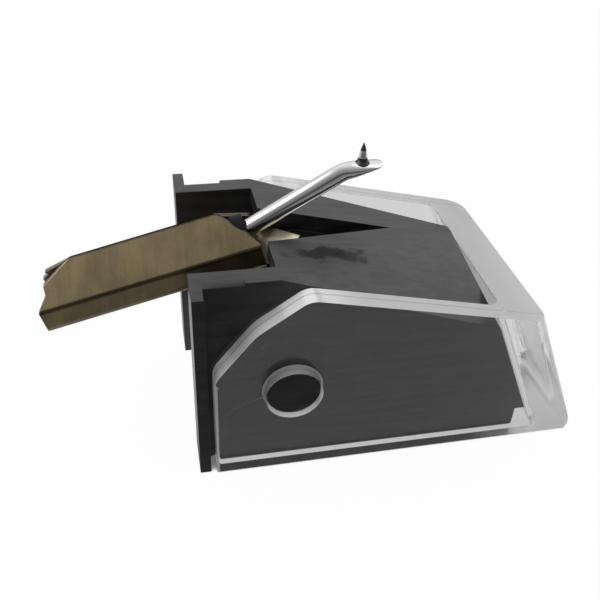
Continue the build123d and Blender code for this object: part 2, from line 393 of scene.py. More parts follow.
class NodeBench:
    """Adds and links the nodes of one shader tree.

    Attributes:
        row: Nodes in a row of the tree's layout.
        pitch: Distance between the columns and between the rows of that layout.
    """

    row = 8
    pitch = (220, -260)

    def __init__(self, tree: bpy.types.NodeTree) -> None:
        """Starts on an emptied tree.

        Args:
            tree: The tree to fill.
        """
        self.tree = tree
        self.tree.nodes.clear()
        self.count = 0

    def add(
        self, kind: str, inputs: dict[int | str, object] | None = None, **settings: object
    ) -> bpy.types.Node:
        """Adds a node, sets its properties and feeds its inputs.

        Args:
            kind: Blender's identifier of the node.
            inputs: What is fed to each input, by its number or name.
            **settings: Properties of the node.

        Returns:
            The new node.
        """
        node = self.tree.nodes.new(kind)
        node.location = (self.pitch[0] * (self.count % self.row), self.pitch[1] * (self.count // self.row))
        self.count += 1
        for name, value in settings.items():
            setattr(node, name, value)
        for name, value in (inputs or {}).items():
            self.feed(node.inputs[name], value)
        return node

    def feed(self, socket: bpy.types.NodeSocket, value: object) -> None:
        """Links an output to a socket, or sets the socket's own value.

        Args:
            socket: The input to feed.
            value: An output socket, a number, a vector or a colour.
        """
        if isinstance(value, bpy.types.NodeSocket):
            self.tree.links.new(value, socket)
        elif isinstance(value, (int, float)):
            socket.default_value = value
        else:
            wide = len(socket.default_value) == 4 and len(value) == 3
            socket.default_value = (*value, 1.0) if wide else tuple(value)

    def sum(self, kind: str, first: object, second: object = 0.0) -> bpy.types.NodeSocket:
        """Output of a Math node with one or two operands."""
        return self.add("ShaderNodeMath", {0: first, 1: second}, operation=kind).outputs[0]

    def times(self, first: object, second: object) -> bpy.types.NodeSocket:
        """Product of two numbers."""
        return self.sum("MULTIPLY", first, second)

    def plus(self, first: object, second: object) -> bpy.types.NodeSocket:
        """Sum of two numbers."""
        return self.sum("ADD", first, second)

    def most(self, first: object, second: object) -> bpy.types.NodeSocket:
        """Greater one of two numbers."""
        return self.sum("MAXIMUM", first, second)

    def vector(self, kind: str, first: object, second: object) -> bpy.types.NodeSocket:
        """Vector output of a Vector Math node."""
        return self.add("ShaderNodeVectorMath", {0: first, 1: second}, operation=kind).outputs[0]

    def dot(self, first: object, second: object) -> bpy.types.NodeSocket:
        """Dot product of two vectors."""
        node = self.add("ShaderNodeVectorMath", {0: first, 1: second}, operation="DOT_PRODUCT")
        return node.outputs["Value"]

    def split(self, vector: object) -> bpy.types.NodeOutputs:
        """The three parts of a vector, named X, Y and Z."""
        return self.add("ShaderNodeSeparateXYZ", {0: vector}).outputs

    def ramp(
        self, value: object, low: object, high: object, to: Sequence[object] = (0.0, 1.0)
    ) -> bpy.types.NodeSocket:
        """Smooth Map Range of a value from one range to another."""
        ends = {"Value": value, "From Min": low, "From Max": high, "To Min": to[0], "To Max": to[1]}
        return self.add("ShaderNodeMapRange", ends, interpolation_type="SMOOTHSTEP").outputs[0]

    def blend(self, share: object, first: object, second: object) -> bpy.types.NodeSocket:
        """Colour mix with a share of the second colour."""
        return self.add("ShaderNodeMix", {0: share, 6: first, 7: second}, data_type="RGBA").outputs[2]

    def mix(self, share: object, first: object, second: object) -> bpy.types.NodeSocket:
        """Shader mix with a share of the second shader."""
        return self.add("ShaderNodeMixShader", {0: share, 1: first, 2: second}).outputs[0]

    def noise(
        self, vector: object, scale: object, detail: float = 3.0, rough: float = 0.55
    ) -> bpy.types.NodeSocket:
        """Value of a Noise Texture with so many finer layers of such weight."""
        inputs = {"Vector": vector, "Scale": scale, "Detail": detail, "Roughness": rough}
        return self.add("ShaderNodeTexNoise", inputs).outputs[0]

    def place(self) -> bpy.types.NodeSocket:
        """Object coordinates in millimetres."""
        here = self.add("ShaderNodeTexCoord").outputs["Object"]
        return self.add("ShaderNodeVectorMath", {0: here, "Scale": 1 / MM}, operation="SCALE").outputs[0]


class EffectBench(NodeBench):
    """Fills the tree of one shared surface effect."""

    def __init__(self, name: str, vectors: str, numbers: str, results: str) -> None:
        """Opens the group with its sockets.

        Args:
            name: Name of the group.
            vectors: Names of its vector inputs.
            numbers: Names of its number inputs, which follow them.
            results: Names of its number outputs.
        """
        super().__init__(bpy.data.node_groups.new(name, "ShaderNodeTree"))
        for labels, way, kind in (
            (vectors, "INPUT", "NodeSocketVector"),
            (numbers, "INPUT", "NodeSocketFloat"),
            (results, "OUTPUT", "NodeSocketFloat"),
        ):
            for label in labels.split():
                self.tree.interface.new_socket(label, in_out=way, socket_type=kind)
        given = self.add("NodeGroupInput").outputs
        self.given = [given[label] for label in f"{vectors} {numbers}".split()]
        self.results = self.add("NodeGroupOutput").inputs

    def put_out(self, **values: object) -> bpy.types.NodeTree:
        """Feeds the group's outputs.

        Args:
            **values: What each output gives.

        Returns:
            The finished group.
        """
        for name, value in values.items():
            self.feed(self.results[name], value)
        return self.tree


class EffectShop:
    """Builds the surface effects that several finishes share, each once."""

    def __init__(self) -> None:
        """Builds every effect."""
        self.grain = self.make_grain()
        self.hairlines = self.make_hairlines()
        self.smudge = self.make_smudge()
        self.specks = self.make_specks()
        self.stain = self.make_stain()
        self.crease = self.make_crease()
        self.facing = self.make_facing()

    @staticmethod
    def make_grain() -> bpy.types.NodeTree:
        """Builds the fine even grain of a moulded or cast skin.

        Returns:
            The group.
        """
        bench = EffectBench("skin_grain", "Place", "Fineness", "Height Patch")
        place, fineness = bench.given
        coarse = bench.noise(place, bench.times(fineness, 0.06))
        fine = bench.noise(place, fineness, 2.0, 0.6)
        return bench.put_out(Height=fine, Patch=bench.ramp(coarse, 0.35, 0.68))

    @staticmethod
    def make_hairlines() -> bpy.types.NodeTree:
        """Builds fine lines along one direction, as from drawing, rubbing or sliding.

        Returns:
            The group.
        """
        bench = EffectBench("hairlines", "Place Squeeze", "Fineness Share", "Lines Marks")
        place, squeeze, fineness, share = bench.given
        lines = bench.noise(bench.vector("MULTIPLY", place, squeeze), fineness, 3.0, 0.6)
        edge = bench.ramp(share, 0.0, 1.0, (0.78, 0.35))
        return bench.put_out(Lines=lines, Marks=bench.ramp(lines, edge, bench.plus(edge, 0.06)))

    @staticmethod
    def make_smudge() -> bpy.types.NodeTree:
        """Builds slow changes of gloss from handling.

        Returns:
            The group.
        """
        bench = EffectBench("handling", "Place", "Fineness Low High", "Gloss")
        place, fineness, low, high = bench.given
        return bench.put_out(Gloss=bench.ramp(bench.noise(place, fineness, 4.0), 0.3, 0.7, (low, high)))

    @staticmethod
    def make_specks() -> bpy.types.NodeTree:
        """Builds scattered dust grains.

        Returns:
            The group.
        """
        bench = EffectBench("dust_specks", "Place", "Fineness Grain", "Dust")
        place, fineness, grain = bench.given
        cells = bench.add("ShaderNodeTexVoronoi", {"Vector": place, "Scale": fineness}).outputs
        near = bench.ramp(cells["Distance"], 0.0, grain, (1.0, 0.0))
        chance = bench.add("ShaderNodeSeparateColor", {0: cells["Color"]}).outputs[0]
        return bench.put_out(Dust=bench.times(near, bench.ramp(chance, 0.8, 0.84)))

    @staticmethod
    def make_stain() -> bpy.types.NodeTree:
        """Builds one soft oval patch with a wavering rim.

        Returns:
            The group.
        """
        bench = EffectBench("oval_patch", "Place Centre Size", "Waver", "Patch")
        place, centre, size, waver = bench.given
        local = bench.vector("DIVIDE", bench.vector("SUBTRACT", place, centre), size)
        reach = bench.add("ShaderNodeVectorMath", {0: local}, operation="LENGTH").outputs["Value"]
        wave = bench.ramp(bench.noise(place, 1.6), 0.25, 0.75, (-1.0, 1.0))
        return bench.put_out(Patch=bench.ramp(bench.plus(reach, bench.times(wave, waver)), 1.0, 0.35))

    @staticmethod
    def make_crease() -> bpy.types.NodeTree:
        """Builds a line along a pair of folds in a side view, one on each side of the middle plane.

        Returns:
            The group.
        """
        bench = EffectBench("fold_line", "Place Fold Upwards", "Width", "Line")
        place, fold, upwards, width = bench.given
        rise = bench.dot(bench.vector("SUBTRACT", place, fold), upwards)
        here, there = (bench.sum("ABSOLUTE", bench.split(at)["Y"]) for at in (place, fold))
        side = bench.sum("SUBTRACT", here, there)
        away = bench.sum("SQRT", bench.plus(bench.times(side, side), bench.times(rise, rise)))
        return bench.put_out(Line=bench.ramp(away, width, bench.times(width, 0.4)))

    @staticmethod
    def make_facing() -> bpy.types.NodeTree:
        """Builds the mask of the faces that look along one direction, either way.

        Returns:
            The group.
        """
        bench = EffectBench("facing", "Facing Direction", "Low High", "Mask")
        facing, direction, low, high = bench.given
        return bench.put_out(Mask=bench.ramp(bench.sum("ABSOLUTE", bench.dot(facing, direction)), low, high))


# Finishes


class Finish:
    """A material with its principled shader and a surface relief."""

    def __init__(self, name: str, shop: EffectShop) -> None:
        """Opens the material.

        Args:
            name: Name of the material.
            shop: The shared effects.
        """
        self.shop = shop
        self.material = bpy.data.materials.new(name)
        self.material.use_nodes = True
        self.bench = NodeBench(self.material.node_tree)
        self.shader = self.bench.add("ShaderNodeBsdfPrincipled")
        self.output = self.bench.add("ShaderNodeOutputMaterial", {"Surface": self.shader.outputs[0]})
        self.place = self.bench.place()
        self.facing = self.bench.add("ShaderNodeTexCoord").outputs["Normal"]

    def effect(self, tree: bpy.types.NodeTree, **inputs: object) -> bpy.types.NodeOutputs:
        """Places a shared effect at the surface's own place and facing.

        Args:
            tree: The effect's group.
            **inputs: Values of its other inputs.

        Returns:
            The effect's outputs.
        """
        node = self.bench.add("ShaderNodeGroup", inputs, node_tree=tree)
        for name, own in (("Place", self.place), ("Facing", self.facing)):
            if name in node.inputs:
                self.bench.feed(node.inputs[name], own)
        return node.outputs

    def handled(self, fineness: float, gloss: Span) -> bpy.types.NodeSocket:
        """Roughness that handling changes between a lowest and a highest value."""
        return self.effect(self.shop.smudge, Fineness=fineness, Low=gloss[0], High=gloss[1])["Gloss"]

    def patch(self, oval: Oval, waver: float) -> bpy.types.NodeSocket:
        """Mask of a soft patch of given centre and size."""
        return self.effect(self.shop.stain, Centre=oval[0], Size=oval[1], Waver=waver)["Patch"]

    def fold(self, place: Triple, upwards: Sequence[float], width: float) -> bpy.types.NodeSocket:
        """Mask of a line through a place, at a right angle to the upward direction."""
        return self.effect(self.shop.crease, Fold=place, Upwards=upwards, Width=width)["Line"]

    def looking(self, direction: Sequence[float], low: float, high: float) -> bpy.types.NodeSocket:
        """Mask of the faces that look along a direction, either way."""
        return self.effect(self.shop.facing, Direction=direction, Low=low, High=high)["Mask"]

    def set(self, **values: object) -> None:
        """Sets or links the principled shader's sockets.

        Args:
            **values: Socket names, with _ for a space, and their values.
        """
        for name, value in values.items():
            self.bench.feed(self.shader.inputs[name.replace("_", " ")], value)

    def relief(self, height: object, depth: float, strength: float) -> None:
        """Adds a bump.

        Args:
            height: The relief's height, from 0 to 1.
            depth: How deep that is, in millimetres.
            strength: Share of it that is used.
        """
        sizes = {"Strength": strength, "Distance": depth * MM, "Height": height}
        self.set(Normal=self.bench.add("ShaderNodeBump", sizes).outputs[0])


@dataclass(frozen=True)
class BlackMoulding:
    """Semi-gloss black moulded plastic.

    Attributes:
        dark: Colour in the dense parts.
        light: Colour in the rubbed parts.
        dust: Colour of the dust.
        resin: Colour of the adhesive smear.
        gloss: Lowest and highest roughness.
        smear: Centre and size of the adhesive smear on the roof, in millimetres.
    """

    dark: Colour = (0.006, 0.006, 0.0063)
    light: Colour = (0.03, 0.03, 0.0305)
    dust: Colour = (0.3, 0.3, 0.29)
    resin: Colour = (0.003, 0.003, 0.003)
    gloss: Span = (0.3, 0.42)
    smear: Oval = ((0.05, -2.05, 8.0), (1.9, 0.6, 1.2))

    def make(self, shop: EffectShop) -> bpy.types.Material:
        """Builds the material.

        Args:
            shop: The shared effects.

        Returns:
            The material.
        """
        finish = Finish("moulded_black", shop)
        bench = finish.bench
        grain = finish.effect(shop.grain, Fineness=14.0)["Patch"]
        flow = finish.effect(shop.hairlines, Squeeze=(0.2, 2.6, 2.6), Fineness=1.5, Share=0.25)["Lines"]
        dust = finish.effect(shop.specks, Fineness=2.2, Grain=0.06)["Dust"]
        smear = finish.patch(self.smear, 0.35)
        streaks = bench.times(bench.ramp(flow, 0.35, 0.65), 2.0)
        colour = bench.blend(bench.times(bench.plus(grain, streaks), 0.33), self.dark, self.light)
        colour = bench.blend(bench.times(dust, 0.25), colour, self.dust)
        colour = bench.blend(smear, colour, self.resin)
        rough = bench.plus(finish.handled(0.45, self.gloss), bench.times(smear, 0.5))
        finish.set(Base_Color=colour, Roughness=rough, IOR=1.5, Specular_IOR_Level=0.5)
        finish.relief(flow, 0.002, 0.2)
        return finish.material


@dataclass(frozen=True)
class ClearMoulding:
    """Clear moulded plastic with fine handling marks.

    Attributes:
        name: Name of the material.
        clarity: Share of the light that passes through instead of being scattered.
        tint: Colour of the light that has passed through.
        rear_painted_light: Colour at the rear facets; a brighter one there is painted light, where less light
            falls on them.
        rear: Places along X between which the rear facets' colour changes to the other one.
        line_tint: Colour of the parting line.
        index: Refractive index.
        gloss: Lowest and highest roughness.
        frost: Roughness of the narrow edge faces.
        front_frost: Roughness of the front panel.
        front: Places along X between which the edges' roughness changes to the panel's.
        foot_frost: Roughness of the faces that lie on the table.
        parting: Distance of the mould's parting line from the middle plane in millimetres.
        weld: Middle, rise in degrees and half length of the faint weld line beside the pivot hole.
    """

    name: str = "moulded_clear"
    clarity: float = 1.0
    tint: Colour = (0.77, 0.773, 0.776)
    rear_painted_light: Colour = (0.77, 0.773, 0.776)
    rear: Span = (-1.6, 1.2)
    line_tint: Colour = (0.25, 0.25, 0.25)
    index: float = 1.49
    gloss: Span = (0.02, 0.06)
    frost: float = 0.16
    front_frost: float = 0.32
    front: Span = (5.5, 7.5)
    foot_frost: float = 0.95
    parting: float = 4.2
    weld: tuple[Triple, float, float] = ((-3.4, 4.705, 3.62), 22.7, 1.2)

    def make(self, shop: EffectShop) -> bpy.types.Material:
        """Builds the material, with lamps passing through it.

        Args:
            shop: The shared effects.

        Returns:
            The material.
        """
        finish = Finish(self.name, shop)
        bench = finish.bench
        marks = finish.effect(shop.hairlines, Squeeze=(0.5, 1.0, 4.0), Fineness=1.4, Share=0.1)
        dust = finish.effect(shop.specks, Fineness=1.8, Grain=0.05)["Dust"]
        edge = bench.sum("SUBTRACT", 1.0, finish.looking((0.0, 1.0, 0.0), 0.12, 0.35))
        along = bench.split(finish.place)["X"]
        haze = bench.ramp(along, *self.front, (self.frost, self.front_frost))
        under = bench.ramp(bench.dot(finish.facing, DOWN), 0.6, 0.9)
        haze = bench.most(haze, bench.times(under, self.foot_frost))
        (x, y, z), rise, half = self.weld
        weld = finish.fold((x, y, z), upright_to(rise), 0.05)
        near_plate = finish.patch(((x, -y, z), (half, 1.0, half)), 0.1)
        rough = finish.handled(0.5, self.gloss)
        for mask, share in (
            (dust, 0.4),
            (marks["Marks"], 0.12),
            (edge, haze),
            (bench.times(weld, near_plate), 0.5),
        ):
            rough = bench.plus(rough, bench.times(mask, share))
        line = finish.fold((0.0, self.parting, 0.0), (0.0, 0.0, 0.0), 0.04)
        # Painted light: the rear facets can take a brighter colour, where less light falls on them.
        tint = bench.blend(bench.ramp(along, *self.rear), self.rear_painted_light, self.tint)
        tint = bench.blend(bench.times(bench.times(line, edge), 0.6), tint, self.line_tint)
        finish.set(Base_Color=tint, Roughness=rough, IOR=self.index, Transmission_Weight=self.clarity)
        finish.relief(marks["Lines"], 0.001, 0.1)
        shadow = bench.add("ShaderNodeLightPath").outputs["Is Shadow Ray"]
        through = bench.add("ShaderNodeBsdfTransparent", {0: self.tint}).outputs[0]
        surface = bench.mix(shadow, finish.shader.outputs[0], through)
        bench.feed(finish.output.inputs["Surface"], surface)
        return finish.material


@dataclass(frozen=True)
class BrassSheet:
    """Dull brass sheet with rubbing lines and tarnished patches, painted shade and a painted highlight.

    Attributes:
        bright: Colour where it is rubbed.
        dull: Colour where it is tarnished.
        gloss: Lowest and highest roughness.
        tilt: Tilt of the plug in degrees.
        fold_height: Height of its folds at the shell's rear face in millimetres.
        half_width: Distance of its folds from the middle plane.
        fold_width: Reach of the painted shade in a fold.
        painted_shade: Colour of the painted shade in the folds, the seam and the throat, on faces that look
            down and on end faces that look along the plug.
        tongue: Centre and size of the tongue's pale patch, rubbed brass with a painted highlight.
        polished: Colour of that patch, paler for rubbed brass and for a painted highlight.
        throat_shade: Centre and size of the painted shade on the floor in front of the damper.
        ridge: Place of the seam along X from the shell's rear face, and its height there.
        ridge_width: Reach of the painted shade in the seam.
    """

    bright: Colour = (0.34, 0.268, 0.149)
    dull: Colour = (0.247, 0.196, 0.119)
    gloss: Span = (0.26, 0.38)
    tilt: float = 14.85
    fold_height: float = 7.4
    half_width: float = 1.245
    fold_width: float = 0.13
    painted_shade: Colour = (0.03, 0.022, 0.016)
    tongue: Oval = ((-1.2, 0.0, 7.62), (1.0, 1.2, 0.6))
    polished: Colour = (0.85, 0.77, 0.56)
    throat_shade: Oval = ((-2.15, -0.35, 7.37), (0.42, 1.6, 0.5))
    ridge: Span = (-0.323, 8.618)
    ridge_width: float = 0.14

    def make(self, shop: EffectShop) -> bpy.types.Material:
        """Builds the material.

        Args:
            shop: The shared effects.

        Returns:
            The material.
        """
        finish = Finish("brass_sheet", shop)
        bench = finish.bench
        lines = finish.effect(shop.hairlines, Squeeze=(3.2, 0.3, 0.3), Fineness=2.2, Share=0.4)["Lines"]
        grain = finish.effect(shop.grain, Fineness=16.0)
        tone = bench.plus(bench.times(lines, 0.7), bench.times(grain["Patch"], 0.35))
        colour = bench.blend(bench.ramp(tone, 0.2, 0.85), self.dull, self.bright)
        # Painted highlight: the tongue takes a paler brass colour, partly for rubbed brass and partly for its
        # bright reflection.
        colour = bench.blend(finish.patch(self.tongue, 0.3), colour, self.polished)
        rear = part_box("body_shell")[0].x / MM
        upwards = upright_to(self.tilt)
        # Painted shade: a dark line along each fold, where the flap meets the lower wall.
        fold = finish.fold((rear, self.half_width, self.fold_height), upwards, self.fold_width)
        # Painted shade: a dark line along the seam at the ridge.
        seam = finish.fold((rear + self.ridge[0], 0.0, self.ridge[1]), upwards, self.ridge_width)
        # Painted shade on the end faces that look along the plug.
        cut = finish.looking(heading(self.tilt), 0.15, 0.35)
        # Painted shade on the floor in front of the damper.
        throat_shade = finish.patch(self.throat_shade, 0.1)
        # Painted shade on faces that look downwards.
        under = bench.ramp(bench.dot(finish.facing, DOWN), 0.15, 0.5)
        dark = bench.times(fold, 0.75)
        for mask, share in ((cut, 0.8), (seam, 0.7), (throat_shade, 0.9), (under, 0.85)):
            dark = bench.most(dark, bench.times(mask, share))
        # The painted shade darkens the colour here.
        colour = bench.blend(dark, colour, self.painted_shade)
        finish.set(Base_Color=colour, Metallic=0.92, Roughness=finish.handled(0.9, self.gloss))
        finish.relief(bench.plus(lines, grain["Height"]), 0.006, 0.5)
        return finish.material


@dataclass(frozen=True)
class BareMetal:
    """Drawn, turned or ground metal.

    Attributes:
        name: Name of the material.
        colour: Its colour.
        shade: Its colour in the marks.
        gloss: Lowest and highest roughness.
        squeeze: How the marks are stretched along each axis.
        fineness: Marks per millimetre.
    """

    name: str
    colour: Colour
    shade: Colour
    gloss: Span
    squeeze: Triple
    fineness: float

    def make(self, shop: EffectShop) -> bpy.types.Material:
        """Builds the material.

        Args:
            shop: The shared effects.

        Returns:
            The material.
        """
        finish = Finish(self.name, shop)
        bench = finish.bench
        lines = finish.effect(shop.hairlines, Squeeze=self.squeeze, Fineness=self.fineness, Share=0.3)
        colour = bench.blend(bench.times(lines["Marks"], 0.5), self.colour, self.shade)
        rough = bench.plus(finish.handled(1.6, self.gloss), bench.times(lines["Marks"], 0.08))
        finish.set(Base_Color=colour, Metallic=1.0, Roughness=rough)
        finish.relief(lines["Lines"], 0.003, 0.4)
        return finish.material


@dataclass(frozen=True)
class DarkSolid:
    """Rubber, adhesive or a dark stone: a dense dielectric with a fine grain.

    Attributes:
        name: Name of the material.
        colour: Its colour.
        haze: Its colour where it is worn.
        gloss: Lowest and highest roughness.
        index: Refractive index.
        fineness: Grains per millimetre.
        depth: Depth of the grain in millimetres.
    """

    name: str
    colour: Colour
    haze: Colour
    gloss: Span
    index: float
    fineness: float
    depth: float

    def make(self, shop: EffectShop) -> bpy.types.Material:
        """Builds the material.

        Args:
            shop: The shared effects.

        Returns:
            The material.
        """
        finish = Finish(self.name, shop)
        grain = finish.effect(shop.grain, Fineness=self.fineness)
        colour = finish.bench.blend(grain["Patch"], self.colour, self.haze)
        finish.set(Base_Color=colour, Roughness=finish.handled(2.0, self.gloss), IOR=self.index)
        finish.relief(grain["Height"], self.depth, 0.5)
        return finish.material


# Sub-assemblies


def seat(
    piece: bpy.types.Object, body: Body, slot: Slot | None, material: bpy.types.Material, *nodes: str
) -> None:
    """Dresses a finished piece and lets it ride on its body in place of CAD nodes.

    Args:
        piece: The finished piece.
        body: The body it moves with.
        slot: Not used; the record's slot that its finish belongs to, or nothing for an added detail.
        material: Its material.
        *nodes: CAD nodes that it stands for.
    """
    piece.data.materials.clear()
    piece.data.materials.append(material)
    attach(piece, body.value)
    if nodes:
        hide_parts(*nodes)
    LOG.info("%s rides on %s, %d faces", piece.name, body.value, len(piece.data.polygons))


def dress_copy(
    node: str, name: str, edge: EdgeBreak, body: Body, slot: Slot, material: bpy.types.Material
) -> None:
    """Copies a CAD node, rounds its edges and seats the copy in its place.

    Args:
        node: Name of the CAD node.
        name: Name of the new piece.
        edge: Size of the rounding.
        body: The body it moves with.
        slot: The record's slot that its finish belongs to.
        material: Its material.
    """
    piece = copy_of_node(node, name)
    break_edges(piece, edge)
    seat(piece, body, slot, material, node)


@dataclass
class Shell:
    """The black body shell.

    Attributes:
        edge: Rounding of its moulded edges.
        foot: Rounding of the side walls' outer edges on the table.
        foot_start: Place along X where that rounding starts, within the guard's plates.
        half_width: Distance of a side wall's outer face from the middle plane.
        finish: Its material.
    """

    edge: EdgeBreak = EdgeBreak(0.02)
    foot: EdgeBreak = EdgeBreak(0.3, 6)
    foot_start: float = -4.4
    half_width: float = 3.785
    finish: BlackMoulding = BlackMoulding()

    def build(self, shop: EffectShop) -> None:
        """Builds and dresses the moulding.

        Args:
            shop: The shared effects.
        """
        piece = copy_of_node("body_shell", "shell_moulding")
        with editing(piece):
            bpy.ops.mesh.bisect(plane_co=(self.foot_start * MM, 0, 0), plane_no=(1, 0, 0))
        low = (self.foot_start, self.half_width - NEAR, -NEAR)
        high = (FAR, self.half_width + NEAR, NEAR)
        round_edges(piece, self.foot, EdgePick(Axis.X, low, high))
        break_edges(piece, self.edge)
        seat(piece, Body.ROOT, Slot.BLACK, self.finish.make(shop), "body_shell")


@dataclass
class Guard:
    """The clear swinging guard.

    Attributes:
        foot: Rounding of the plates' lower outer edges.
        corner: Rounding of the corners between the facets of a plate's top.
        rear: Rounding of the plates' upright outer edges at the rear.
        hole_radius: Radius of the pivot holes.
        lip: Half the thickness of the holes' rounded rims.
        lip_steps: Steps round a rim and round its own section.
        half_width: Distance of a plate's outer face from the middle plane.
        inner_half: Distance of a plate's inner face from the middle plane.
        finish: Its material.
        edge_finish: Material of its frosted edge faces, with painted light on the rear facets.
        lip_finish: Material of the holes' rims, whitish and mostly scattering: a painted highlight.
    """

    foot: EdgeBreak = EdgeBreak(0.06, 3, clamp=False)
    corner: EdgeBreak = EdgeBreak(0.3, 5, clamp=False)
    rear: EdgeBreak = EdgeBreak(0.16, 4, clamp=False)
    hole_radius: float = 1.1
    lip: float = 0.05
    lip_steps: tuple[int, int] = (96, 12)
    half_width: float = 4.705
    inner_half: float = 3.875
    finish: ClearMoulding = ClearMoulding()
    # Painted light: the frosted edge faces are painted brighter at the rear facets.
    edge_finish: ClearMoulding = ClearMoulding(
        "moulded_clear_edge", 0.5, (0.5, 0.502, 0.504), (0.97, 0.97, 0.97)
    )
    # Painted highlight: a whitish, mostly scattering finish makes the rims show as a bright ring.
    lip_finish: ClearMoulding = ClearMoulding(
        "moulded_clear_rim", 0.35, (0.95, 0.95, 0.95), (0.95, 0.95, 0.95)
    )

    def __post_init__(self) -> None:
        """Finds the guard's box and its pivot."""
        low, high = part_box("stylus_guard")
        self.low, self.middle = low / MM, (low + high) / 2 / MM
        self.pivot = joint_place("guard_swing")

    def build(self, shop: EffectShop) -> None:
        """Builds and dresses the moulding.

        Args:
            shop: The shared effects.
        """
        piece = copy_of_node("stylus_guard", "guard_moulding")
        self.part_faces(piece)
        self.round_off(piece)
        seat(piece, Body.GUARD, Slot.CLEAR, self.finish.make(shop), "stylus_guard")
        piece.data.materials.append(self.edge_finish.make(shop))
        for face in piece.data.polygons:
            face.material_index = int(self.is_frosted(face))
        rim = self.lip_finish.make(shop)
        for side, name in ((-1, "guard_rim_right"), (1, "guard_rim_left")):
            seat(self.hole_rim(name, side), Body.GUARD, Slot.CLEAR, rim)

    def part_faces(self, piece: bpy.types.Object) -> None:
        """Moves the seams in the plates' flat faces to the pivot's level, away from the rounded corners.

        Args:
            piece: The copied moulding.
        """
        with editing(piece):
            bpy.ops.mesh.bisect(plane_co=self.pivot * MM, plane_no=(0, 0, 1))
        mesh = piece.data
        sides: dict[tuple[int, int], list[Vector]] = {}
        for face in mesh.polygons:
            for key in face.edge_keys:
                sides.setdefault(key, []).append(face.normal.copy())

        def is_seam(line: bpy.types.MeshEdge) -> bool:
            """Tells whether an edge lies within a flat face, away from the pivot's level.

            Args:
                line: The edge.

            Returns:
                True for such an edge.
            """
            level = all(abs(mesh.vertices[index].co.z / MM - self.pivot.z) < 0.001 for index in line.vertices)
            normals = sides[line.key]
            return not level and len(normals) == 2 and normals[0].dot(normals[1]) > 0.99999

        with editing_edges(piece, is_seam):
            bpy.ops.mesh.dissolve_edges(use_verts=False)

    def round_off(self, piece: bpy.types.Object) -> None:
        """Rounds the plates' outer edges and the corners of their tops.

        Args:
            piece: The moulding.
        """
        skin, beyond = self.half_width - NEAR, self.half_width + NEAR
        for edge, axis, low, high in (
            (self.foot, Axis.X, (-FAR, skin, -FAR), (FAR, beyond, self.low.z + NEAR)),
            (self.corner, Axis.Y, (-FAR, self.inner_half, self.middle.z), (self.middle.x, FAR, FAR)),
            (self.rear, Axis.Z, (-FAR, skin, -FAR), (self.low.x + NEAR, beyond, FAR)),
        ):
            round_edges(piece, edge, EdgePick(axis, low, high))
        soften(piece, self.foot.sharper_than)

    def is_frosted(self, face: bpy.types.MeshPolygon) -> bool:
        """Tells whether a face is one of the frosted ones: a plate's top, its rear or a pivot hole's wall.

        Args:
            face: The face.

        Returns:
            True for such a face.
        """
        centre, sideways = face.center / MM, abs(face.normal.y)
        in_hole = math.hypot(centre.x - self.pivot.x, centre.z - self.pivot.z) < self.hole_radius + 0.1
        behind = centre.x < self.low.x + self.rear.width and face.normal.x < -0.2
        on_top = sideways < 0.3 and face.normal.z > 0.5
        return on_top or sideways < 0.97 and behind or sideways < 0.3 and in_hole

    def hole_rim(self, name: str, side: int) -> bpy.types.Object:
        """Models the rounded inner rim of one pivot hole, which shows through the plate.

        Args:
            name: Name of the piece.
            side: -1 for the plate at -Y, 1 for the one at +Y.

        Returns:
            The rim, flush with the plate's inner face.
        """
        clear_selection()
        bpy.ops.mesh.primitive_torus_add(
            location=Vector((self.pivot.x, side * (self.inner_half + self.lip), self.pivot.z)) * MM,
            rotation=(math.pi / 2, 0, 0),
            major_segments=self.lip_steps[0],
            minor_segments=self.lip_steps[1],
            major_radius=(self.hole_radius + self.lip / 2) * MM,
            minor_radius=self.lip * MM,
        )
        piece = bpy.context.active_object
        rename(piece, name)
        bpy.ops.object.transform_apply(location=True, rotation=True, scale=True)
        bpy.ops.object.shade_smooth()
        return piece


@dataclass
class Plug:
    """The folded brass plug with the damper and the wire's anchor inside it.

    Attributes:
        edge: Rounding of the sheet's cut edges.
        wire_edge: Rounding of the wire's ends.
        damper_edge: Rounding of the damper's edges.
        finish: Material of the sheet.
        rubber: Material of the damper.
        wire: Material of the tie wire.
    """

    edge: EdgeBreak = EdgeBreak(0.03, 2, 50.0)
    wire_edge: EdgeBreak = EdgeBreak(0.004, 1, 60.0)
    damper_edge: EdgeBreak = EdgeBreak(0.04, 2, 50.0)
    finish: BrassSheet = BrassSheet()
    rubber: DarkSolid = DarkSolid(
        "damper_rubber", (0.004, 0.004, 0.004), (0.011, 0.011, 0.011), (0.65, 0.85), 1.3, 12.0, 0.02
    )
    wire: BareMetal = BareMetal(
        "wire_steel", (0.55, 0.55, 0.56), (0.35, 0.35, 0.36), (0.25, 0.4), (1.0, 6.0, 6.0), 3.0
    )

    def build(self, shop: EffectShop) -> None:
        """Builds and dresses the plug's pieces.

        Args:
            shop: The shared effects.
        """
        brass = self.finish.make(shop)
        dress_copy("plug_tube", "plug_sheet", self.edge, Body.ROOT, Slot.BRASS, brass)
        dress_copy("wire_anchor", "anchor_block", self.edge, Body.ROOT, Slot.BRASS, brass)
        wire, rubber = self.wire.make(shop), self.rubber.make(shop)
        dress_copy("tie_wire", "tie_wire_drawn", self.wire_edge, Body.ROOT, Slot.STEEL, wire)
        dress_copy("damper", "damper_block", self.damper_edge, Body.SUSPENSION, Slot.RUBBER, rubber)


